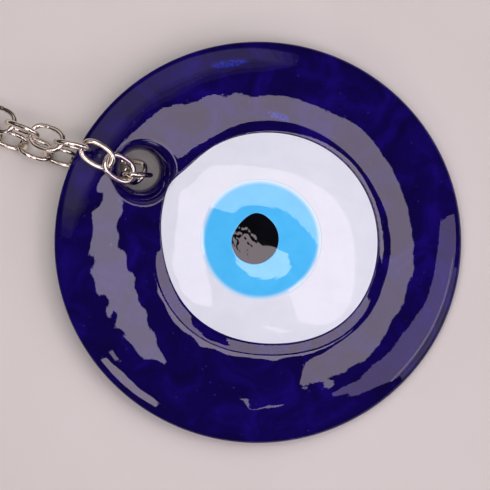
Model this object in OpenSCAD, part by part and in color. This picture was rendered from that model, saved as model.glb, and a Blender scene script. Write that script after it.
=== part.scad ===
// Evil eye ornament: a poured glass disc with an inlaid eye, hung on a closed loop of
// cable chain. The loop runs through the hole in the disc, so one strand lies over the
// rim and the other lies under it and props the disc up on that side. A plain ring
// joins the two ends. Millimetres, +Z up, lying on the plane z = 0.

/* [Glass disc] */
// Diameter of the disc
disc_d = 60; // [50:1:70]
// Thickness at the low ridge round the eye
ridge_h = 5; // [5:0.1:5.4]
// Thickness in the shallow valley next to the white of the eye
valley_h = 4.8; // [4.4:0.1:4.9]
// Thickness at the top of the domed eye
apex_h = 7; // [6:0.1:8]
// Radius of the ridge
ridge_r = 17.6; // [17.2:0.2:18.4]
// Radius of the valley
valley_r = 16; // [15.6:0.2:16.6]
// Rounding of the lower edge
edge_r = 1.6; // [1:0.1:2]

/* [Hole] */
// Diameter of the hole at the back of the disc
hole_d = 5.9; // [5.9:0.1:7]
// Distance from the disc's centre to the hole's centre
hole_offset = 20.4; // [19.5:0.1:20.8]
// Direction of the hole from the disc's centre, in degrees
hole_heading = 148.8; // [145:0.2:152]
// How far the mouth flares outward on each side
flare = 2.6; // [2.4:0.1:3]

/* [Eye] */
// Diameter of the white layer
white_d = 31.8; // [29:0.2:32]
// Diameter of the light blue iris
iris_d = 17.9; // [14:0.1:20]
// Diameter of the black pupil
pupil_d = 7.2; // [5:0.1:9]
// Height of the white layer's floor above the back
white_floor = 2.4; // [2:0.1:3]
// Height of the iris's floor above the back
iris_floor = 3.9; // [3.5:0.1:4.5]
// Height of the pupil's floor above the back
pupil_floor = 5.2; // [4.8:0.1:5.6]

/* [Chain] */
// Length of a link over its ends
link_l = 5.7; // [5.7:0.05:5.9]
// Width of a link over its sides
link_w = 4.1; // [4:0.05:4.3]
// Thickness of the chain's wire
wire_d = 0.8; // [0.7:0.05:0.8]
// Gap between two link wires where they bear on each other
play = 0.1; // [0.1:0.05:0.2]

/* [Closing ring] */
// Diameter of the ring, to the centre of its wire
ring_d = 9; // [9:0.5:12]
// Thickness of the ring's wire
ring_wire_d = 1; // [0.8:0.1:1]

/* [Lie] */
// Tilt of the disc, whose hole side rests on the lower strand
tilt = 4.5; // [4.5:0.1:5]
// Direction in which the disc is lifted
lift_heading = 157; // [150:1:165]

/* [Hidden] */
$fn = 72;

// The disc's centre, placed so that the origin is in the middle of the whole footprint
disc_x = 30.7;
disc_y = -4.3;

disc_r = disc_d / 2;
flat_r = disc_r - edge_r;
disc_lift = flat_r * sin(tilt) + edge_r * (1 - cos(tilt));

// The shoulder slopes away soon after the ridge and turns down fully only at the rim
shoulder_out = 1.54;
shoulder_up = 1.3;

edge_steps = 4;
rim_steps = 12;
valley_steps = 5;
dome_steps = 9;
flare_steps = 8;
bore_h = 0.6;
flare_top = 5.6;
flare_over = 6.4;
below = 1;
pocket_top = 12;

// Offsets of the hand-dropped layers from the disc's centre
white_at = [1.8, 0.4];
iris_at = [0.3, 0.2];
pupil_at = [-0.5, 0.4];

// Chain: every link is [heading in plan, climb, roll about its own length], in degrees
corner_r = 1.4;
link_span = link_l - wire_d;
side_l = link_span - 2 * corner_r;
end_l = link_w - wire_d - 2 * corner_r;
hole_link = [0, -60, 93];
hole_link_top = [disc_x - 19.1, disc_y + 10, 8.7];

// Both strands end alike: side by side on the table, and upright in the closing ring
flat_roll = 38;
steep_roll = flat_roll - 90;
run_heading = 161;
run_pairs = 3;
run = concat(
    [[run_heading, 0, steep_roll]],
    [for (i = [1:run_pairs]) each [
        [run_heading, 0, flat_roll],
        [run_heading, 0, steep_roll]
    ]],
    [[run_heading, 4, 25], [run_heading, 0, 102]]
);
upper_route = concat([
    [149, 27, 17], [148, 1, -26], [168, -3, 95],
    [160, -12, 8], [159, -18, 100], [155, -24, 5],
    [148, -32, 77], [144, -31, 149], [158, -4, 41]
], run);
lower_route = concat([
    [161, -54, 10], [168, 1, -47], [172, 0, flat_roll],
    [165, 0, steep_roll], [160, 0, flat_roll], [162, 0, steep_roll],
    [162, 0, flat_roll], [160, 0, steep_roll], [155, 0, flat_roll]
], run);

function run_dir(h) = [cos(h[0]) * cos(h[1]), sin(h[0]) * cos(h[1]), sin(h[1])];
function turn_plan(v, a) = [v[0] * cos(a) - v[1] * sin(a), v[0] * sin(a) + v[1] * cos(a), v[2]];
function end_wire(h) = turn_plan([-sin(h[1]) * sin(h[2]), cos(h[2]), cos(h[1]) * sin(h[2])], h[0]);
function unit(v) = v / norm(v);
function backward(h) = [h[0] + 180, -h[1], h[2]];

// Direction in which one link's end wire bears on the next: each wire takes the part of
// the bend that turns about it
function bearing(h, k) = let (
    bend = cross(run_dir(h), run_dir(k)),
    tiny = 0.000001,
    on_next = abs(bend * end_wire(k)) + tiny,
    on_this = abs(bend * end_wire(h)) + tiny
) unit(run_dir(h) * on_next + run_dir(k) * on_this);

// Centre of the near end wire of each link on a route that starts from an end wire
function link_starts(route, from, h, i = 0) = i == len(route) ? [] : let (
    near = from - bearing(h, route[i]) * (wire_d + play),
    far = near + run_dir(route[i]) * link_span
) concat([near], link_starts(route, far, route[i], i + 1));

hole_link_end = hole_link_top + run_dir(hole_link) * link_span;
upper_starts = link_starts(upper_route, hole_link_top, backward(hole_link));
lower_starts = link_starts(lower_route, hole_link_end, hole_link);

// The ring's wire passes through the last link of each strand
ring_play = 0.5;
ring_floor_gap = 0.02;
last_dir = run_dir(run[len(run) - 1]);
ring_reach = link_span - (wire_d + ring_wire_d) / 2 - ring_play;
ring_in_upper = upper_starts[len(upper_starts) - 1] + last_dir * ring_reach;
ring_in_lower = lower_starts[len(lower_starts) - 1] + last_dir * ring_reach;
ring_across = ring_in_lower - ring_in_upper;
ring_bite = (ring_in_upper + ring_in_lower) / 2;
ring_depth = sqrt(pow(ring_d / 2, 2) - pow(norm(ring_across) / 2, 2));
ring_heading = atan2(ring_across[1], ring_across[0]) - 90;
ring_drop = asin((ring_bite[2] - ring_wire_d / 2 - ring_floor_gap) / (ring_depth + ring_d / 2));
ring_pose = [ring_heading, -ring_drop, 0];
ring_at = ring_bite + run_dir(ring_pose) * ring_depth;

function link_name(strand, i) = str(strand, "_link_", i < 10 ? "0" : "", i);

// Half outline of the disc from its axis: back, rounded edge, shoulder, ridge, valley, dome
function ease(a, b, t) = a + (b - a) * (1 - cos(180 * t)) / 2;
edge_points = [for (i = [0:edge_steps]) let (a = 90 * i / edge_steps)
    [flat_r + edge_r * sin(a), edge_r * (1 - cos(a))]];
rim_points = [for (i = [1:rim_steps]) let (a = 90 * i / rim_steps)
    [ridge_r + (disc_r - ridge_r) * pow(cos(a), shoulder_out),
     edge_r + (ridge_h - edge_r) * pow(sin(a), shoulder_up)]];
valley_points = [for (i = [1:valley_steps]) let (t = i / valley_steps)
    [ridge_r + (valley_r - ridge_r) * t, ease(ridge_h, valley_h, t)]];
dome_points = [for (i = [1:dome_steps]) let (t = 1 - i / dome_steps)
    [valley_r * t, valley_h + (apex_h - valley_h) * (1 - t * t)]];
disc_outline = concat([[0, 0]], edge_points, rim_points, valley_points, dome_points);

// Half outline of the hole: a short bore and a mouth that flares towards the front
flare_points = [for (i = [0:flare_steps])
    let (z = bore_h + (flare_over - bore_h) * i / flare_steps)
    [hole_d / 2 + flare * pow((z - bore_h) / (flare_top - bore_h), 2), z]];
hole_outline = concat([[0, -below], [hole_d / 2, -below]], flare_points, [[0, flare_over]]);

module lie_on_chain() {
    translate([disc_x, disc_y, disc_lift])
        rotate([0, 0, lift_heading])
            rotate([0, -tilt, 0])
                rotate([0, 0, -lift_heading])
                    children();
}

module disc_blank() {
    rotate_extrude() polygon(disc_outline);
}

module hole() {
    rotate([0, 0, hole_heading])
        translate([hole_offset, 0, 0])
            rotate_extrude() polygon(hole_outline);
}

module plug(at, d, floor_h) {
    translate([at[0], at[1], floor_h])
        cylinder(d = d, h = pocket_top - floor_h);
}

module white_plug() {
    plug(white_at, white_d, white_floor);
}

module iris_plug() {
    plug(iris_at, iris_d, iris_floor);
}

module pupil_plug() {
    plug(pupil_at, pupil_d, pupil_floor);
}

module glass_body() {
    color("navy")
        lie_on_chain()
            difference() {
                disc_blank();
                hole();
                white_plug();
            }
}

module white_layer() {
    color("white")
        lie_on_chain()
            difference() {
                intersection() {
                    disc_blank();
                    white_plug();
                }
                iris_plug();
            }
}

module iris_layer() {
    color("deepskyblue")
        lie_on_chain()
            difference() {
                intersection() {
                    disc_blank();
                    iris_plug();
                }
                pupil_plug();
            }
}

module pupil() {
    color("black")
        lie_on_chain()
            intersection() {
                disc_blank();
                pupil_plug();
            }
}

// An oval link, long along X, bent from round wire
module wire_corner(sx, sy, start) {
    translate([sx * side_l / 2, sy * end_l / 2, 0])
        rotate([0, 0, start])
            rotate_extrude(angle = 90)
                translate([corner_r, 0])
                    circle(d = wire_d);
}

module wire_rod(length) {
    cylinder(d = wire_d, h = length, center = true);
}

module chain_link() {
    wire_corner(1, 1, 0);
    wire_corner(-1, 1, 90);
    wire_corner(-1, -1, 180);
    wire_corner(1, -1, 270);
    for (side = [-1, 1]) {
        translate([0, side * (link_w - wire_d) / 2, 0])
            rotate([0, 90, 0])
                wire_rod(side_l);
        translate([side * link_span / 2, 0, 0])
            rotate([90, 0, 0])
                wire_rod(end_l);
    }
}

module placed_link(start, h) {
    color("silver")
        translate(start + run_dir(h) * link_span / 2)
            rotate([h[2], -h[1], h[0]])
                chain_link();
}

module closing_ring() {
    color("lightgray")
        translate(ring_at)
            rotate([ring_pose[2], -ring_pose[1], ring_pose[0]])
                rotate_extrude()
                    translate([ring_d / 2, 0])
                        circle(d = ring_wire_d);
}

glass_body();
white_layer();
iris_layer();
pupil();
placed_link(hole_link_top, hole_link);
for (i = [1:len(upper_route)])
    placed_link(upper_starts[i - 1], upper_route[i - 1]);
for (i = [1:len(lower_route)])
    placed_link(lower_starts[i - 1], lower_route[i - 1]);
closing_ring();
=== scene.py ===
"""Looks of the evil eye ornament: a poured glass disc with an inlaid eye on a looped chain.

Lengths in the builders below are millimetres in the disc's or the link's own frame, and
MM turns them into metres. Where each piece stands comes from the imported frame.
"""

import math
from collections import namedtuple

import bmesh
import bpy
import numpy as np
from mathutils import Matrix, Vector


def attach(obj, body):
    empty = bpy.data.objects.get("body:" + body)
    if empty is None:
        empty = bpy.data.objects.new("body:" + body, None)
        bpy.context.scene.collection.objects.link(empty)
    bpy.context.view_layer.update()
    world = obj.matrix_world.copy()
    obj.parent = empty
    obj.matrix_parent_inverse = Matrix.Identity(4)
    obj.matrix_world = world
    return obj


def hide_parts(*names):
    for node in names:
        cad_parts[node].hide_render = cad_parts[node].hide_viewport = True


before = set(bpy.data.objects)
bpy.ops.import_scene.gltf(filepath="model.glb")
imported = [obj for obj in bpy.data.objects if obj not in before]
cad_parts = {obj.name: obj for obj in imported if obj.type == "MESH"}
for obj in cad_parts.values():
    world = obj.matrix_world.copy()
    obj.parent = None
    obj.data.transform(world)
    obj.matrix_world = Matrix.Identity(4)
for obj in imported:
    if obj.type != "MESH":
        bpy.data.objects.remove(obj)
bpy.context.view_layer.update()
MM = 0.001
TURN = 2 * math.pi


# ---------------------------------------------------------------- the frame's own measures

def node_points(name):
    """Vertices of a CAD node in the row frame, in metres."""
    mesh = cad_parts[name].data
    points = np.empty(len(mesh.vertices) * 3)
    mesh.vertices.foreach_get("co", points)
    return points.reshape(-1, 3)


def pose_of(axes, origin):
    """Pose that stands at origin, with the columns of axes as its X, Y and Z."""
    return Matrix([[*axes[k], origin[k]] for k in range(3)] + [[0, 0, 0, 1]])


def surface_axes(name):
    """Middle of a CAD node's surface, and its main axes, the longest first."""
    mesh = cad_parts[name].data
    mesh.calc_loop_triangles()
    points = node_points(name)
    corners = np.array([t.vertices for t in mesh.loop_triangles])
    a, b, c = (points[corners[:, k]] for k in range(3))
    area = np.linalg.norm(np.cross(b - a, c - a), axis=1)
    middle = (a + b + c) / 3
    centre = (middle * area[:, None]).sum(0) / area.sum()
    spread = ((middle - centre) * area[:, None]).T @ (middle - centre)
    axes = np.linalg.eigh(spread)[1][:, ::-1]
    if np.linalg.det(axes) < 0:
        axes[:, 2] *= -1
    return centre, axes


def wire_pose(name):
    """Pose and size of a bent wire piece: X along its length, Y across, Z its normal.

    The size is its length, its width and the wire's thickness, in metres."""
    centre, axes = surface_axes(name)
    local = (node_points(name) - centre) @ axes
    centre = centre + axes @ ((local.max(0) + local.min(0)) / 2)
    return pose_of(axes, centre), np.ptp(local, axis=0)


def disc_pose():
    """Pose of the glass disc: origin in the middle of its flat back, Z out of its front.

    With it come the disc's radius and the height of the eye's top, in millimetres."""
    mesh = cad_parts["glass_body"].data
    back = max(mesh.polygons, key=lambda face: face.area)
    normal = Vector(back.normal)
    normal = normal if normal.z > 0 else -normal
    across = (Vector((1, 0, 0)) - normal * normal.x).normalized()
    axes = np.array([across, normal.cross(across), normal]).T
    local = node_points("glass_body") @ axes
    low, high = local.min(0), local.max(0)
    origin = axes @ np.array([(low[0] + high[0]) / 2, (low[1] + high[1]) / 2, low[2]])
    top = (node_points("pupil") @ axes)[:, 2].max()
    return pose_of(axes, origin), (high[0] - low[0]) / 2 / MM, (top - low[2]) / MM


DISC, DISC_R, APEX_H = disc_pose()


# ---------------------------------------------------------------- mesh helpers

def new_object(name, data):
    """Puts a mesh, camera or lamp into the scene."""
    made = bpy.data.objects.new(name, data)
    bpy.context.scene.collection.objects.link(made)
    return made


def make_piece(name, points, faces, pose):
    """A smooth-shaded mesh from points in millimetres in a pose's frame."""
    mesh = bpy.data.meshes.new(name)
    world = (points * MM) @ np.array(pose.to_3x3()).T + np.array(pose.translation)
    mesh.from_pydata(world.tolist(), [], faces)
    mesh.update()
    fix = bmesh.new()
    fix.from_mesh(mesh)
    bmesh.ops.recalc_face_normals(fix, faces=fix.faces)
    fix.to_mesh(mesh)
    fix.free()
    mesh.polygons.foreach_set("use_smooth", [True] * len(mesh.polygons))
    return new_object(name, mesh)


def ring_faces(rings, around, closed):
    """Quads between rings of points, each with the same number of points around.

    A closed set also has quads from its last ring back to its first."""
    faces = []
    for row in range(rings if closed else rings - 1):
        here, there = row * around, (row + 1) % rings * around
        for k in range(around):
            n = (k + 1) % around
            faces.append((here + k, here + n, there + n, there + k))
    return faces


def add_layer(piece, name, values):
    """Stores one number per vertex for the piece's material to read."""
    layer = piece.data.attributes.new(name, "FLOAT", "POINT")
    layer.data.foreach_set("value", np.asarray(values, np.float32))


def compass(around):
    """Angles all the way round, and the unit direction of each."""
    angle = np.linspace(0, TURN, around, endpoint=False)
    return angle, np.stack([np.cos(angle), np.sin(angle)], 1)


def level_ring(flat, height):
    """A ring of points that are all at one height."""
    return np.column_stack([flat, np.full(len(flat), height)])


def ease(x, low, high):
    """Smooth step: 0 up to low, 1 from high on."""
    t = np.clip((x - low) / (high - low), 0, 1)
    return t * t * (3 - 2 * t)


def dent(distance, width):
    """Profile of a smooth dent: 1 in its middle, and gone about two widths away."""
    return np.exp(-(distance / width) ** 2)


def soft_min(a, b, k):
    """The lower of two heights, rounded over where they are within k of each other."""
    h = np.clip(0.5 + 0.5 * (b - a) / k, 0, 1)
    return b + (a - b) * h - k * h * (1 - h)


# ---------------------------------------------------------------- the disc's measures

# Rounding of the edge, the foot of the eye's dome, the shoulder's curve, how far the disc is
# from round, and the distances from its middle over which the ridge's outline gives way to
# the disc's. TINY keeps a division clear of zero.
EDGE_R = 1.6
VALLEY_R, VALLEY_H = 15.9, 4.8
SHOULDER_POWER, SHOULDER_ROOT = 1.3, 0.65
OVAL = 0.008
OUTLINE_FADE = (18, 26)
TINY = 1e-9

# The hole: its rounded lower edge, its straight bore, and the flared mouth over that
HOLE_R, HOLE_OFFSET, HOLE_HEADING = 2.95, 20.7, math.radians(148.6)
HOLE_AT = HOLE_OFFSET * np.array([math.cos(HOLE_HEADING), math.sin(HOLE_HEADING)])
BACK_ROUND, BORE_H = 0.4, 0.6
FLARE, FLARE_H, FLARE_SOFT = 2.6, 5.0, 0.9

# The three drops of glass: the white is let into the disc, and each of the others into the
# one before. An outline is a list of (direction in degrees, radius), joined smoothly.
Drop = namedtuple("Drop", "outline middle depth")
WHITE = Drop([(0, 15.9), (45, 15.6), (90, 15.6), (120, 15.9), (140, 16.1), (152, 16.8),
              (163, 16.5), (180, 16.0), (225, 15.9), (270, 15.5), (315, 16.4)],
             np.array([1.45, 0.7]), 2.0)
IRIS = Drop([(0, 8.9), (60, 8.8), (120, 8.95), (180, 8.85), (240, 8.9), (300, 8.8)],
            np.array([-0.05, 0.55]), 1.4)
PUPIL = Drop([(0, 3.45), (45, 3.5), (90, 3.75), (120, 3.3), (150, 3.15), (180, 3.45),
              (225, 3.75), (270, 3.75), (315, 3.55)],
             np.array([-0.9, 0.75]), 1.2)

# How wide the sloping side of a drop's pocket is, the gap left round the drop, the small
# hub that the pupil's rings start from, and the small cap in the middle of a drop's underside
POCKET_SLOPE, GAP = 0.5, 0.01
HUB = Drop([(0, 1.0), (180, 1.0)], PUPIL.middle, 0.0)
CAP_R = 0.05

# The low ridge round the white, keyed by direction like the outlines: its width, its slope
# at the white's edge, and how long that slope is held before it rolls over into the shoulder
RIDGE_W = [(0, 1.3), (45, 1.2), (85, 1.6), (103, 1.5), (124, 0.4), (150, 0.4), (180, 1.6),
           (225, 2.1), (270, 1.8), (315, 1.7)]
RIDGE_SLOPE = [(0, 0.1), (45, 0.1), (90, 0.03), (130, 0.03), (180, 0.1), (205, 0.2),
               (270, 0.2), (325, 0.2)]
RIDGE_HOLD = [(0, 2), (45, 2), (90, 1), (130, 1), (180, 2), (220, 12), (270, 12), (310, 9)]

# Unevenness from pouring: (seed of its random waves, their length, their height)
SLOW_WAVES = (4, 13, 0.022)
SHORT_WAVES = (9, 4, 0.007)
FINE_WAVES = (23, 2.4, 0.0006)
PUPIL_PITS = (31, 0.8, 0.0035)
WAVE_COUNT, WAVE_STRETCH = 14, (0.7, 1.5)

# Where the slow and short waves set in and end, as distances from the eye's and the disc's
# middle, how much of the short ones the calm side has, and where the lively side begins
WAVES_IN, WAVES_OUT = (12, 17), (26, 29.5)
CALM_SHARE, LIVELY_SIDE = 0.25, (-6, 22)

# Marks of the drops on the front: the groove round the white, the pupil's sunken face, the
# fine line round it, and its pits. A pair is the stretch over which the mark fades in.
GROOVE_DEPTH, GROOVE_W = 0.012, 0.12
PUPIL_SINK, PUPIL_SINK_EDGE = 0.005, (-0.6, 1.0)
LINE_DEPTH, LINE_OUT, LINE_W = 0.002, 0.5, 0.22
PITS_EDGE, PITS_SIDE = (0.0, 0.7), (-1.8, 2.4)

# Painted light inside the glass, bright streaks: middle, heading in degrees, half length and
# half width; and where they fade out, as a share of that size
PAINTED_LIGHT_STREAKS = [((-4.4, 26.5), 8, (2.9, 0.6)), ((2.7, 18.7), -18, (1.9, 0.5))]
PAINTED_STREAK_FADE = (0.55, 1.15)


# ---------------------------------------------------------------- the disc's shape

def outline_radius(outline, angle):
    """Radius of a closed smooth outline in each direction, which is in radians."""
    turns = np.radians([a for a, _ in outline])
    radii = np.array([r for _, r in outline])
    angle = np.mod(angle, TURN)
    keys = np.concatenate([turns - TURN, turns, turns + TURN])
    values = np.tile(radii, 3)
    index = np.searchsorted(keys, angle, side="right") - 1
    t = (angle - keys[index]) / (keys[index + 1] - keys[index])
    slope = np.gradient(values, keys)
    width = keys[index + 1] - keys[index]
    a, b = values[index], values[index + 1]
    return ((2 * t**3 - 3 * t**2 + 1) * a + (t**3 - 2 * t**2 + t) * width * slope[index]
            + (3 * t**2 - 2 * t**3) * b + (t**3 - t**2) * width * slope[index + 1])


def inside(drop, x, y):
    """How far inside a drop's outline each point lies, along its radius."""
    dx, dy = x - drop.middle[0], y - drop.middle[1]
    return outline_radius(drop.outline, np.arctan2(dy, dx)) - np.hypot(dx, dy)


def ripples(x, y, kind):
    """Height of one kind of unevenness: a sum of waves in random directions."""
    seed, size, height = kind
    rng = np.random.default_rng(seed)
    total = np.zeros_like(x)
    for _ in range(WAVE_COUNT):
        heading, phase = rng.uniform(0, TURN), rng.uniform(0, TURN)
        stretch = rng.uniform(*WAVE_STRETCH)
        k = TURN / (size * stretch)
        total += np.sin(k * (x * math.cos(heading) + y * math.sin(heading)) + phase)
    return height * (total / math.sqrt(WAVE_COUNT / 2))


def shoulder(t):
    """Height of the disc's shoulder from 1 at the ridge to 0 at the widest part."""
    return (1 - np.clip(t, 0, 1) ** SHOULDER_POWER) ** SHOULDER_ROOT


def rim_radius(x, y):
    """Radius of the disc in each point's direction: a little more one way than the other."""
    return DISC_R * (1 + OVAL * np.cos(2 * np.arctan2(y, x)))


def eye_polar(x, y):
    """Direction and distance from the white's middle.

    Near the eye the distance is scaled so that the white's uneven edge is at VALLEY_R."""
    dx, dy = x - WHITE.middle[0], y - WHITE.middle[1]
    angle = np.arctan2(dy, dx)
    stretch = VALLEY_R / outline_radius(WHITE.outline, angle)
    near = 1 - ease(np.hypot(x, y), *OUTLINE_FADE)
    return angle, np.hypot(dx, dy) * (1 + (stretch - 1) * near)


def plain_height(x, y, angle, r_eye):
    """Height of the front without unevenness: the eye's dome, the ridge and the shoulder."""
    dome = VALLEY_H + (APEX_H - VALLEY_H) * (1 - np.clip(r_eye / VALLEY_R, 0, 1) ** 2)
    width, hold = outline_radius(RIDGE_W, angle), outline_radius(RIDGE_HOLD, angle)
    ridge_r = VALLEY_R + width
    u = np.clip((r_eye - VALLEY_R) / width, 0, 1)
    climb = width * outline_radius(RIDGE_SLOPE, angle)
    rise = VALLEY_H + climb * (u - u ** (hold + 1) / (hold + 1))
    top = VALLEY_H + climb * hold / (hold + 1)
    past = np.clip(r_eye - ridge_r, 0, None)
    left = np.clip(rim_radius(x, y) - np.hypot(x, y), 0, None)
    fall = EDGE_R + (top - EDGE_R) * shoulder(past / (past + left + TINY))
    return np.where(r_eye < VALLEY_R, dome, np.where(r_eye < ridge_r, rise, fall))


def pouring_waves(x, y, r_eye):
    """Waves of the blue glass, which are choppiest towards negative X and Y."""
    strength = ease(r_eye, *WAVES_IN) * (1 - ease(np.hypot(x, y), *WAVES_OUT))
    lively = CALM_SHARE + (1 - CALM_SHARE) * ease(-x - y, *LIVELY_SIDE)
    return strength * (ripples(x, y, SLOW_WAVES) + lively * ripples(x, y, SHORT_WAVES))


def drop_marks(x, y):
    """What the drops leave on the front: a groove, a sunken pupil, its pits and its line."""
    groove = GROOVE_DEPTH * dent(inside(WHITE, x, y), GROOVE_W)
    depth_in = inside(PUPIL, x, y)
    pitted = ease(depth_in, *PITS_EDGE) * ease(PUPIL.middle[0] - x, *PITS_SIDE)
    sink = PUPIL_SINK * ease(depth_in, *PUPIL_SINK_EDGE)
    line = LINE_DEPTH * dent(depth_in + LINE_OUT, LINE_W)
    return pitted * ripples(x, y, PUPIL_PITS) - groove - sink - line


def front_height(x, y):
    """Height of the disc's front over its back, without the hole."""
    angle, r_eye = eye_polar(x, y)
    uneven = pouring_waves(x, y, r_eye) + ripples(x, y, FINE_WAVES) + drop_marks(x, y)
    return plain_height(x, y, angle, r_eye) + uneven


def skin_height(x, y):
    """Height of the front with the hole's flared mouth cut into it."""
    from_hole = np.hypot(x - HOLE_AT[0], y - HOLE_AT[1])
    mouth = BORE_H + FLARE_H * np.sqrt(np.clip(from_hole - HOLE_R, 0, None) / FLARE)
    return soft_min(mouth, front_height(x, y), FLARE_SOFT)


def sunk_ring(flat, drop):
    """Points of the front, sunk by a drop's depth where it lies, with sloping sides."""
    pocket = drop.depth * ease(inside(drop, *flat.T), 0.0, POCKET_SLOPE)
    return np.column_stack([flat, skin_height(*flat.T) - pocket])


def painted_streak_strength(x, y):
    """How much painted light streak lies under each point of the front, 0 to 1."""
    total = np.zeros_like(x)
    for middle, heading, (half_l, half_w) in PAINTED_LIGHT_STREAKS:
        c, s = math.cos(math.radians(heading)), math.sin(math.radians(heading))
        dx, dy = x - middle[0], y - middle[1]
        reach = np.hypot((dx * c + dy * s) / half_l, (dy * c - dx * s) / half_w)
        total += 1 - ease(reach, *PAINTED_STREAK_FADE)
    return total


# ---------------------------------------------------------------- the disc's pieces

# Points in each ring of the body and of the drops, the hole's radius at the very back, and
# how far out the front's even rings reach
BODY_AROUND, DROP_AROUND = 480, 256
BACK_HOLE_R = HOLE_R + BACK_ROUND
FACE_R = 27.0


def bore_rings(ray):
    """From the flat back round the hole's lower edge, up the bore and out to the lip."""
    edge_steps, mouth_steps = 6, 26
    rings = []
    for a in np.linspace(0, math.pi / 2, edge_steps):
        flat = HOLE_AT + (BACK_HOLE_R - BACK_ROUND * math.sin(a)) * ray
        rings.append(level_ring(flat, BACK_ROUND * (1 - math.cos(a))))
    for w in np.linspace(0, 1, mouth_steps):
        rings.append(sunk_ring(HOLE_AT + (HOLE_R + FLARE * w**2) * ray, WHITE))
    return rings


def front_rings(ray, rim):
    """From the mouth's lip over the front to FACE_R, then down to the widest part."""
    face_steps, shoulder_steps = 210, 34
    lip = HOLE_AT + (HOLE_R + FLARE) * ray
    rings = []
    for t in np.linspace(0, 1, face_steps)[1:]:
        rings.append(sunk_ring(lip + (FACE_R * ray - lip) * t, WHITE))
    # These rings lie closer together the steeper the shoulder gets
    for t in 1 - (1 - np.linspace(0, 1, shoulder_steps)[1:]) ** 3:
        flat = (FACE_R + (rim - FACE_R) * t) * ray
        rings.append(np.column_stack([flat, front_height(*flat.T)]))
    return rings


def back_rings(ray, rim):
    """From the widest part round the disc's lower edge, and over the flat back to the hole."""
    edge_steps, back_steps = 12, 9
    rings = []
    for a in np.linspace(0, math.pi / 2, edge_steps)[1:]:
        flat = (rim - EDGE_R + EDGE_R * math.cos(a)) * ray
        rings.append(level_ring(flat, EDGE_R * (1 - math.sin(a))))
    for t in np.linspace(0, 1, back_steps)[1:-1]:
        flat = (rim - EDGE_R) * ray * (1 - t) + (HOLE_AT + BACK_HOLE_R * ray) * t
        rings.append(level_ring(flat, 0.0))
    return rings


def build_glass_body():
    """One closed skin: up the bore, out of the mouth, over the front, round and back."""
    _, ray = compass(BODY_AROUND)
    rim = rim_radius(*ray.T)[:, None]
    rings = bore_rings(ray) + front_rings(ray, rim) + back_rings(ray, rim)
    points = np.vstack(rings)
    faces = ring_faces(len(rings), BODY_AROUND, True)
    piece = make_piece("glass_body_poured", points, faces, DISC)
    # The painted light streaks go into a layer that the glass's colour reads, above the lower edge
    # only
    add_layer(piece, "painted_streak", painted_streak_strength(*points[:, :2].T) * (points[:, 2] > EDGE_R))
    return piece


def build_drop(name, drop, inner):
    """A lens of glass: its front follows the disc's, and its sides slope in to its underside.

    One of its rings runs along the outline of the inner drop, which is let into it. The
    first is a small one round the middle, and one close to the rim keeps the edge crisp."""
    hub_steps, face_steps, side_steps, base_steps = 40, 60, 7, 12
    first_share, crisp_share = 0.004, 0.998
    angle, ray = compass(DROP_AROUND)
    reach = outline_radius(drop.outline, angle)[:, None]
    rim = drop.middle + ray * reach
    first = inner.middle + ray * outline_radius(inner.outline, angle)[:, None]
    hub_shares = np.linspace(first_share, 1, hub_steps)
    face_shares = [*np.linspace(0, crisp_share, face_steps)[1:], 1]
    tops = [inner.middle + (first - inner.middle) * t for t in hub_shares]
    tops += [first * (1 - t) + rim * t for t in face_shares]
    unders = [reach - t - GAP for t in np.linspace(0, POCKET_SLOPE, side_steps)[1:]]
    unders += [unders[-1] * (1 - t) + CAP_R * t for t in np.linspace(0, 1, base_steps)[1:]]
    own = drop._replace(depth=drop.depth - GAP)
    rings = [sunk_ring(flat, inner) for flat in tops]
    rings += [sunk_ring(drop.middle + ray * radius, own) for radius in unders]
    faces = ring_faces(len(rings), DROP_AROUND, False)
    last = (len(rings) - 1) * DROP_AROUND
    faces.append(tuple(range(DROP_AROUND)))
    faces.append(tuple(last + k for k in range(DROP_AROUND)))
    piece = make_piece(name, np.vstack(rings), faces, DISC)
    from_rim = [np.hypot(*(rim - flat).T) for flat in tops]
    add_layer(piece, "inside", np.concatenate([*from_rim, np.zeros(len(unders) * DROP_AROUND)]))
    return piece


# ---------------------------------------------------------------- chain and ring

# How much of its radius a wire loses at its seam, then the points along each piece and round
# its wire, how square a link's outline is, and how far its points crowd to its ends
SEAM_PINCH = 0.16
LINK_POINTS, LINK_SIDES, LINK_SQUARENESS, LINK_CROWDING = 112, 20, 2.5, 0.35
RING_POINTS, RING_SIDES = 160, 28


def bent_wire(name, pose, centreline, radius, sides, seam):
    """A closed piece of round wire on a flat centreline, a little thinner at its butt seam.

    The seam is the number of the centreline's point where the wire's two ends meet."""
    path = np.column_stack([centreline, np.zeros(len(centreline))])
    step = np.roll(path, -1, 0) - np.roll(path, 1, 0)
    along = step / np.linalg.norm(step, axis=1)[:, None]
    up = np.array([0.0, 0.0, 1.0])
    side = np.cross(along, up)
    radii = np.full(len(path), radius)
    radii[seam] *= 1 - SEAM_PINCH
    a = np.linspace(0, TURN, sides, endpoint=False)[:, None]
    rings = [path[k] + radii[k] * (np.cos(a) * side[k] + np.sin(a) * up) for k in range(len(path))]
    return make_piece(name, np.vstack(rings), ring_faces(len(path), sides, True), pose)


def link_line(length, width, wire):
    """Centreline of an oval link, between an ellipse and a box, its points crowded at its ends."""
    a, _ = compass(LINK_POINTS)
    a = a + LINK_CROWDING * np.sin(2 * (a - math.pi / 2)) / 2
    half_l, half_w = (length - wire) / 2, (width - wire) / 2
    c, s = np.cos(a), np.sin(a)
    x = half_l * np.sign(c) * np.abs(c) ** (2 / LINK_SQUARENESS)
    y = half_w * np.sign(s) * np.abs(s) ** (2 / LINK_SQUARENESS)
    return np.column_stack([x, y])


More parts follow.
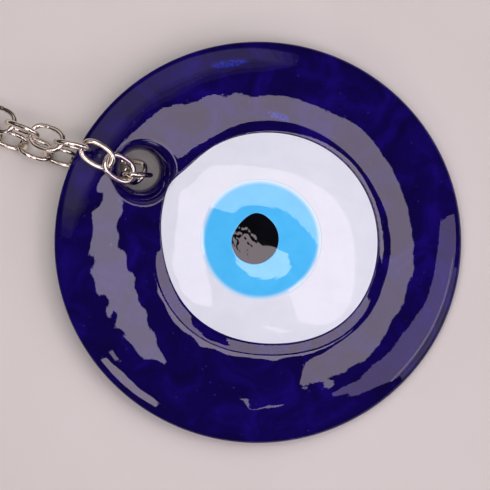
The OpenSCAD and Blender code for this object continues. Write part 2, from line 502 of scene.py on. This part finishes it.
def build_links(material):
    """Every link of both strands, its seam in the middle of one long side."""
    for name in sorted(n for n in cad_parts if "link" in n):
        pose, size = wire_pose(name)
        length, width, wire = size / MM
        line = link_line(length, width, wire)
        piece = bent_wire(name + "_wire", pose, line, wire / 2, LINK_SIDES, LINK_POINTS // 4)
        dress(piece, name, name, material)


def build_ring(material):
    """The round ring that closes the loop."""
    pose, size = wire_pose("closing_ring")
    length, _, wire = size / MM
    _, ray = compass(RING_POINTS)
    line = (length - wire) / 2 * ray
    piece = bent_wire("closing_ring_wire", pose, line, wire / 2, RING_SIDES, RING_POINTS // 2)
    dress(piece, "closing_ring", "closing_ring", material)


def dress(piece, body, node, material):
    """Gives a piece its material, puts it on its body, and hides the CAD node it stands for."""
    piece.data.materials.append(material)
    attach(piece, body)
    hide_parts(node)


# ---------------------------------------------------------------- material helpers

def new_material(name):
    """A material, its node tree and its main shader."""
    material = bpy.data.materials.new(name)
    material.use_nodes = True
    tree = material.node_tree
    return material, tree, tree.nodes["Principled BSDF"]


def put(tree, kind, **values):
    """A new node, with each value set on its input of that name or else on its property."""
    node = tree.nodes.new(kind)
    for key, value in values.items():
        if key in node.inputs.keys():
            node.inputs[key].default_value = value
        else:
            setattr(node, key, value)
    return node


def set_on(shader, **values):
    """Sets plain values on the shader's inputs; an underscore stands for a space."""
    for key, value in values.items():
        shader.inputs[key.replace("_", " ")].default_value = value


def own_place(tree):
    """Coordinates in the piece's own frame, in metres."""
    return put(tree, "ShaderNodeTexCoord").outputs["Object"]


def noise(tree, scale, detail=3.0, rough=0.5, distortion=0.0):
    """Cloudy noise from 0 to 1; a bigger scale is finer."""
    node = put(tree, "ShaderNodeTexNoise", Scale=scale, Detail=detail, Roughness=rough,
               Distortion=distortion)
    tree.links.new(own_place(tree), node.inputs["Vector"])
    return node.outputs["Fac"]


def ramp(tree, source, stops):
    """Colour for each value of the source, from a list of (place, colour)."""
    node = tree.nodes.new("ShaderNodeValToRGB")
    while len(node.color_ramp.elements) < len(stops):
        node.color_ramp.elements.new(0.5)
    for element, (place, colour) in zip(node.color_ramp.elements, stops):
        element.position = place
        element.color = (*colour, 1)
    tree.links.new(source, node.inputs["Fac"])
    return node.outputs["Color"]


def remap(tree, source, low, high, start=0.0, end=1.0, interpolation="LINEAR"):
    """Takes the source's range from low to high to the range from start to end."""
    node = put(tree, "ShaderNodeMapRange", interpolation_type=interpolation)
    for key, value in (("From Min", low), ("From Max", high), ("To Min", start), ("To Max", end)):
        node.inputs[key].default_value = value
    tree.links.new(source, node.inputs["Value"])
    return node.outputs["Result"]


def mix(tree, factor, first, second):
    """Colour that goes from first to second as the factor goes from 0 to 1.

    Each of the two is a socket or a plain colour."""
    node = put(tree, "ShaderNodeMix", data_type="RGBA")
    tree.links.new(factor, node.inputs["Factor"])
    for key, colour in (("A", first), ("B", second)):
        if isinstance(colour, tuple):
            node.inputs[key].default_value = (*colour, 1)
        else:
            tree.links.new(colour, node.inputs[key])
    return node.outputs["Result"]


def times(tree, first, second):
    """Product of two values."""
    node = put(tree, "ShaderNodeMath", operation="MULTIPLY")
    tree.links.new(first, node.inputs[0])
    tree.links.new(second, node.inputs[1])
    return node.outputs["Value"]


def bump(tree, shader, source, height):
    """Fine relief on the shader, its height in metres."""
    node = put(tree, "ShaderNodeBump", Strength=1.0, Distance=height)
    tree.links.new(source, node.inputs["Height"])
    tree.links.new(node.outputs["Normal"], shader.inputs["Normal"])


# ---------------------------------------------------------------- materials

# How strongly each glass mirrors, and the colours of its streaks or clouds as (place in the
# noise, colour); then the specks, the painted light streaks, the iris's pale edge and its width,
# and the wire
GLASS_IOR, WHITE_IOR, IRIS_IOR = 1.52, 1.42, 1.62
COBALT = [(0.3, (0.006, 0.001, 0.07)), (0.5, (0.009, 0.0012, 0.13)), (0.75, (0.02, 0.004, 0.30))]
# The second colour here is the glow of the painted light streaks
SPECK_BLUE, PAINTED_GLOW_BLUE = (0.08, 0.06, 0.62), (0.03, 0.05, 0.80)
MILK = [(0.3, (0.70, 0.755, 0.795)), (0.6, (0.73, 0.785, 0.825))]
SKY = [(0.3, (0.065, 0.50, 0.90)), (0.65, (0.085, 0.55, 0.95))]
SKY_EDGE, SKY_EDGE_W = (0.62, 0.80, 0.90), 0.85
INK = [(0.3, (0.001, 0.001, 0.002)), (0.7, (0.003, 0.003, 0.005))]
CHAIN_TINT, RING_TINT = (0.86, 0.79, 0.67), (0.84, 0.78, 0.69)
STAIN_SHADE, WIRE_ROUGH = 0.88, (0.10, 0.20)


def specked(tree, colour):
    """Tiny bright specks scattered in the glass."""
    speck = put(tree, "ShaderNodeTexVoronoi", Scale=620)
    tree.links.new(own_place(tree), speck.inputs["Vector"])
    amount = remap(tree, speck.outputs["Distance"], 0.05, 0.10, start=0.55, end=0.0)
    return mix(tree, amount, colour, SPECK_BLUE)


def with_painted_streaks(tree, colour):
    """Painted light: bright streaks of light in the glass's colour, broken up into threads."""
    painted_streak = put(tree, "ShaderNodeAttribute", attribute_name="painted_streak")
    threads = noise(tree, scale=900, detail=4, rough=0.7, distortion=2.0)
    threads = remap(tree, threads, 0.36, 0.58)
    # Painted light: the streaks' glow is mixed into the glass's colour
    return mix(tree, times(tree, painted_streak.outputs["Fac"], threads), colour, PAINTED_GLOW_BLUE)


def cobalt_glass():
    """Deep blue glass, part clear, with streaks, specks and painted streaks of inner light."""
    material, tree, shader = new_material("cobalt_glass")
    streaks = noise(tree, scale=150, detail=4, rough=0.6, distortion=1.2)
    colour = with_painted_streaks(tree, specked(tree, ramp(tree, streaks, COBALT)))
    tree.links.new(colour, shader.inputs["Base Color"])
    set_on(shader, Roughness=0.015, IOR=GLASS_IOR, Transmission_Weight=0.55)
    bump(tree, shader, noise(tree, scale=900, detail=2), height=4e-6)
    return material


def opaque_glass(name, stops, ior):
    """Glass that lets no light through, faintly cloudy; its nodes and colour come with it."""
    material, tree, shader = new_material(name)
    colour = ramp(tree, noise(tree, scale=260, distortion=0.6), stops)
    tree.links.new(colour, shader.inputs["Base Color"])
    set_on(shader, Roughness=0.03, IOR=ior)
    return material, tree, shader, colour


def swirl(tree):
    """Faint rings round the pupil."""
    node = put(tree, "ShaderNodeTexWave", wave_type="RINGS", rings_direction="SPHERICAL",
               Scale=480, Distortion=3.5, Detail=2)
    node.inputs["Detail Scale"].default_value = 0.6
    middle = DISC @ (Vector((*PUPIL.middle, APEX_H)) * MM)
    around = put(tree, "ShaderNodeMapping", vector_type="TEXTURE", Location=middle)
    tree.links.new(own_place(tree), around.inputs["Vector"])
    tree.links.new(around.outputs["Vector"], node.inputs["Vector"])
    return node.outputs["Fac"]


def light_blue_glass():
    """The iris: light blue, paler within a millimetre of its edge."""
    material, tree, shader, colour = opaque_glass("light_blue_glass", SKY, IRIS_IOR)
    bump(tree, shader, swirl(tree), height=6e-7)
    from_edge = put(tree, "ShaderNodeAttribute", attribute_name="inside").outputs["Fac"]
    core = remap(tree, from_edge, 0.0, SKY_EDGE_W, interpolation="SMOOTHSTEP")
    tree.links.new(mix(tree, core, SKY_EDGE, colour), shader.inputs["Base Color"])
    return material


def polished_wire(name, tint):
    """Bright plated wire, a little stained and drawn."""
    material, tree, shader = new_material(name)
    stain = noise(tree, scale=500, detail=4, rough=0.6)
    stained = tuple(STAIN_SHADE * c for c in tint)
    colour = ramp(tree, stain, [(0.35, stained), (0.6, tint)])
    rough = remap(tree, stain, 0.0, 1.0, start=WIRE_ROUGH[0], end=WIRE_ROUGH[1])
    tree.links.new(colour, shader.inputs["Base Color"])
    tree.links.new(rough, shader.inputs["Roughness"])
    set_on(shader, Metallic=1.0)
    bump(tree, shader, noise(tree, scale=5200, detail=2), height=3e-7)
    return material


# ---------------------------------------------------------------- camera and floor

# The point of the disc in the middle of the picture, the camera's height over it, and the
# width that the picture shows there, in metres
VIEW_AT = DISC @ Vector((-2.2 * MM, -0.27 * MM, 4 * MM))
CAMERA_H, VIEW_W = 0.55, 0.0723
FLOOR_HALF = 1.5
FLOOR = [(0.3, (0.60, 0.575, 0.53)), (0.7, (0.64, 0.615, 0.57))]


def build_camera():
    """Straight down, from far enough away to see almost no perspective."""
    camera = bpy.data.cameras.new("camera")
    camera.sensor_width = 36
    camera.lens = camera.sensor_width * CAMERA_H / VIEW_W
    camera.clip_start, camera.clip_end = 0.01, 20
    eye = new_object("camera", camera)
    eye.location = (VIEW_AT.x, VIEW_AT.y, VIEW_AT.z + CAMERA_H)
    bpy.context.scene.camera = eye


def build_floor():
    """A plain pale floor at height 0."""
    half = FLOOR_HALF
    mesh = bpy.data.meshes.new("floor")
    mesh.from_pydata([(-half, -half, 0), (half, -half, 0), (half, half, 0), (-half, half, 0)],
                     [], [(0, 1, 2, 3)])
    floor = new_object("floor", mesh)
    material, tree, shader = new_material("pale_floor")
    tree.links.new(ramp(tree, noise(tree, scale=30), FLOOR), shader.inputs["Base Color"])
    set_on(shader, Roughness=0.7, Specular_IOR_Level=0.2)
    mesh.materials.append(material)


# ---------------------------------------------------------------- light

# The panels that the gloss reflects, laid out round the direction in which a flat disc
# mirrors the camera. Each edge entry is (azimuth, inner tilt, outer tilt) in degrees.
OVER_RIGHT = [(-74, 17, 27), (-60, 16, 30), (-50, 15.5, 31), (-36, 15.5, 30.5),
              (-20, 16.5, 29), (-3, 15.1, 27), (14, 12.6, 26), (30, 11.3, 25), (45, 10.8, 24),
              (66, 10.6, 23), (88, 10.7, 23), (110, 11.9, 25.5), (125, 13.2, 28), (142, 16, 28)]
OVER_LEFT = [(142, 17, 28.5), (154, 19.5, 28.5), (170, 20, 29), (185, 20.5, 29.5),
             (200, 21.5, 30), (211, 22.5, 31), (222, 23.5, 30), (232, 27, 28.5)]
LOW_RIGHT = [(-62, 34, 37), (-52, 35, 44), (-43, 35.5, 57), (-25, 35.5, 57),
             (-10, 36.5, 58), (0, 38, 60), (7, 40, 60)]
WINDOW_BAR = [(-46, 52, 54), (-25, 52.5, 54.5), (-5, 53, 54.5)]
SKIRTING = [(-43, 58, 74), (-25, 58, 75), (-8, 59, 72)]
LOW_LEFT = [(219, 47, 58), (229, 43, 58), (241, 47, 55)]
LOW_LEFT_SPOT = [(217, 38, 41.5), (221, 38, 41.5)]
LOW_GLINT = [(-93, 28.9, 29.1), (-87, 28.3, 30.2), (-81, 29.2, 29.4)]
NEAR_CAMERA = [(168, 8, 8.6), (176, 4.8, 10), (193, 4.2, 12.1), (212, 2.9, 12.3),
               (230, 2.4, 12.7), (246, 2.3, 13.3), (270, 2.3, 13.3), (290, 2.6, 12.6),
               (303, 3.4, 11), (312, 4.5, 9), (322, 6.2, 6.8)]

# Colours of the room that the panels stand for, and how far off they are, in metres
ROSE, LILAC = (1.0, 0.86, 0.93), (0.96, 0.84, 1.0)
VIOLET, CREAM = (0.76, 0.61, 1.0), (1.0, 0.92, 0.8)
PANEL_AWAY, BAR_AWAY = 0.9, 0.86

# The haze is a stack of panels, each smaller, nearer and brighter than the one behind
HAZE_STEPS, HAZE_RADIANCE, HAZE_SPACING = 4, 0.14, 0.01

# The lamp's power in watts, its width and distance in metres, and its direction
FILL_POWER, FILL_W, FILL_AWAY = 11, 1.6, 1.4
FILL_AZIMUTH, FILL_TILT = 70, 14
SKY_GLOW, SKY_STRENGTH = (0.75, 0.8, 0.9, 1), 0.04


def mirror_frame():
    """Rotation whose Z is where the camera's straight-down view bounces off a flat disc."""
    normal = DISC.to_3x3() @ Vector((0, 0, 1))
    bounce = 2 * normal.z * normal - Vector((0, 0, 1))
    return Vector((0, 0, 1)).rotation_difference(bounce.normalized()).to_matrix()


def toward(azimuth, tilt):
    """Unit direction tilted from Z towards an azimuth, both in degrees."""
    a, t = math.radians(azimuth), math.radians(tilt)
    return Vector((math.sin(t) * math.cos(a), math.sin(t) * math.sin(a), math.cos(t)))


def glow_material(name, radiance, colour):
    """A plain glow."""
    material = bpy.data.materials.new(name)
    material.use_nodes = True
    tree = material.node_tree
    tree.nodes.clear()
    glow = put(tree, "ShaderNodeEmission", Strength=radiance, Color=(*colour, 1))
    out = tree.nodes.new("ShaderNodeOutputMaterial")
    tree.links.new(glow.outputs["Emission"], out.inputs["Surface"])
    return material


def glowing_panel(name, edges, radiance, colour=ROSE, distance=PANEL_AWAY):
    """A curved panel that lights and glints, hidden from the camera and casting no shadow."""
    turn = mirror_frame()
    points, faces = [], []
    for azimuth, inner, outer in edges:
        for tilt in (inner, outer):
            points.append(VIEW_AT + distance * (turn @ toward(azimuth, tilt)))
    for k in range(len(edges) - 1):
        faces.append((2 * k, 2 * k + 1, 2 * k + 3, 2 * k + 2))
    mesh = bpy.data.meshes.new(name)
    mesh.from_pydata([p[:] for p in points], [], faces)
    panel = new_object(name, mesh)
    mesh.materials.append(glow_material(name, radiance, colour))
    panel.visible_camera = False
    panel.visible_shadow = False


def haze_edges(step):
    """Edges of one panel of the haze, the first being the largest."""
    return [(76 + 3 * step, 42, 54), (92 + 2 * step, 33 + 2 * step, 60 - step),
            (112, 31 + 2 * step, 62 - step), (135, 30 + 2 * step, 62 - step),
            (162 - 2 * step, 31 + 2 * step, 60 - step), (178 - 3 * step, 40, 52)]


def build_fill():
    """A wide soft lamp overhead that lights the scene without showing in the gloss."""
    lamp = bpy.data.lights.new("fill", "AREA")
    lamp.size = FILL_W
    lamp.energy = FILL_POWER
    fill = new_object("fill", lamp)
    aim = toward(FILL_AZIMUTH, FILL_TILT)
    fill.location = VIEW_AT + aim * FILL_AWAY
    fill.rotation_euler = aim.to_track_quat("Z", "Y").to_euler()
    fill.visible_camera = False
    fill.visible_glossy = False


def build_lights():
    """The panels with their radiance, the lamp, and a faint glow from all round."""
    glowing_panel("over_right", OVER_RIGHT, 3.3)
    glowing_panel("over_left", OVER_LEFT, 4.0, LILAC)
    glowing_panel("low_right", LOW_RIGHT, 2.1, VIOLET)
    glowing_panel("window_bar", WINDOW_BAR, 3.6, CREAM, BAR_AWAY)
    for step in range(HAZE_STEPS):
        glowing_panel("haze_%d" % step, haze_edges(step), HAZE_RADIANCE * (step + 1),
                      distance=PANEL_AWAY - HAZE_SPACING * step)
    glowing_panel("skirting", SKIRTING, 0.9)
    glowing_panel("low_left", LOW_LEFT, 4.4)
    glowing_panel("low_left_spot", LOW_LEFT_SPOT, 3.0)
    glowing_panel("low_glint", LOW_GLINT, 3.4)
    glowing_panel("near_camera", NEAR_CAMERA, 4.4)
    build_fill()
    world = bpy.data.worlds.new("studio")
    world.use_nodes = True
    world.node_tree.nodes["Background"].inputs["Color"].default_value = SKY_GLOW
    world.node_tree.nodes["Background"].inputs["Strength"].default_value = SKY_STRENGTH
    bpy.context.scene.world = world
    bpy.context.scene.view_settings.view_transform = "Standard"


# ---------------------------------------------------------------- the model

build_camera()
build_floor()
build_lights()

dress(build_glass_body(), "disc", "glass_body", cobalt_glass())
dress(build_drop("white_layer_drop", WHITE, IRIS),
      "disc", "white_layer", opaque_glass("white_glass", MILK, WHITE_IOR)[0])
dress(build_drop("iris_layer_drop", IRIS, PUPIL),
      "disc", "iris_layer", light_blue_glass())
dress(build_drop("pupil_drop", PUPIL, HUB),
      "disc", "pupil", opaque_glass("black_glass", INK, GLASS_IOR)[0])
build_links(polished_wire("chain_steel", CHAIN_TINT))
build_ring(polished_wire("ring_steel", RING_TINT))
